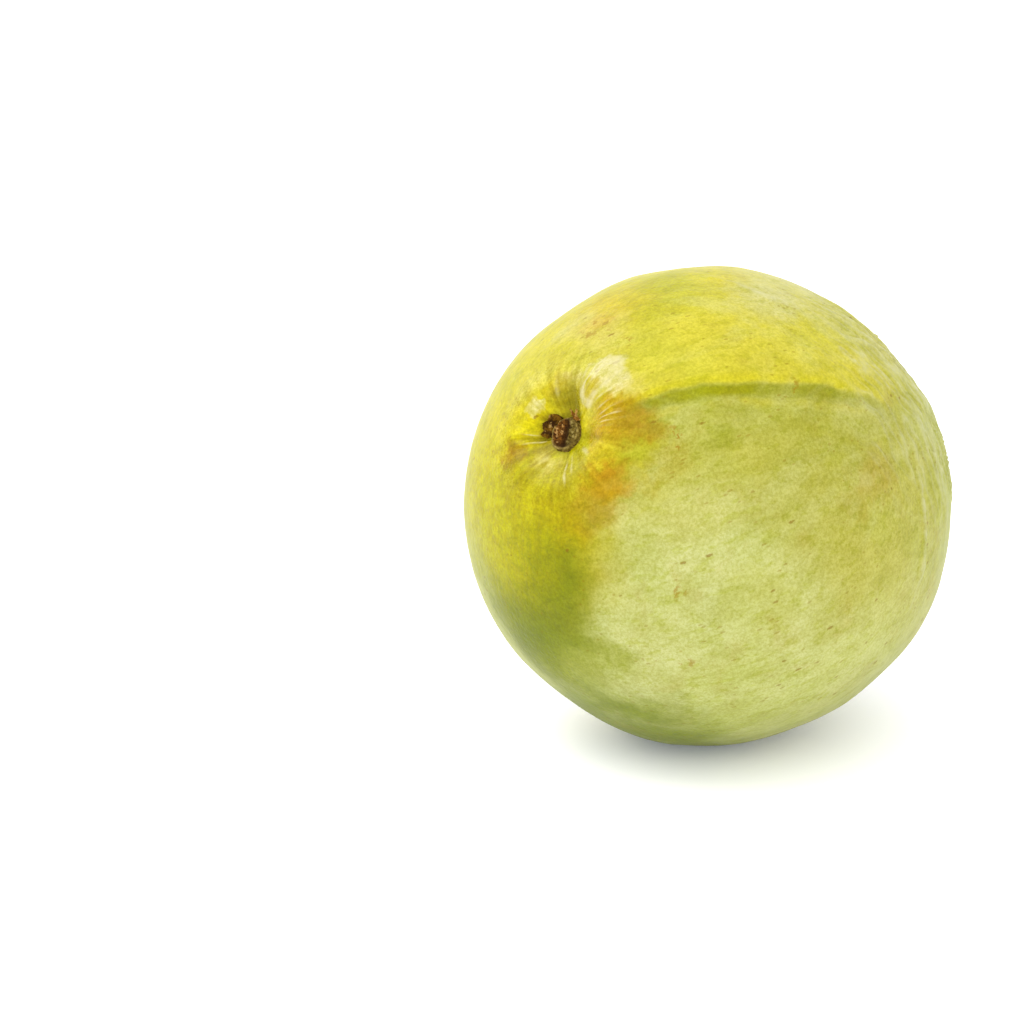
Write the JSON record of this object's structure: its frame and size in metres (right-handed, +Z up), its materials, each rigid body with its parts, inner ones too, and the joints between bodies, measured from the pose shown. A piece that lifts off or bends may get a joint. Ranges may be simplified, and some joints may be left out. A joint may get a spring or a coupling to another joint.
{
  "type": "guava",
  "caption": "Large round guava lying on a small flat spot, stem end raised, with a broken stem stub in its dimple and dry sepals and stamens on its calyx.",
  "frame": {"origin": "middle of the small flat spot under the belly that the fruit rests on", "axes": "+Z up, stem end towards -Y with the fruit's axis raised 31 degrees, calyx end towards +Y and downwards, the long rib on the +X side of the top"},
  "size_m": [0.0862, 0.0935, 0.086],
  "materials": {
    "skin": "satin, waxy green-yellow fruit skin",
    "stem_wood": "rough broken wood and dry bark",
    "dry_sepal": "dry, brittle and wrinkled",
    "stamens": "dry fine fibres"
  },
  "bodies": {
    "root": {"fruit": "skin", "stem_stub": "stem_wood", "bract_left": "stem_wood", "bract_upper": "stem_wood", "sepal_1": "dry_sepal", "sepal_2": "dry_sepal", "sepal_3": "dry_sepal", "sepal_4": "dry_sepal", "sepal_5": "dry_sepal", "stamen_ring": "stamens", "style": "stamens"}
  },
  "joints": []
}
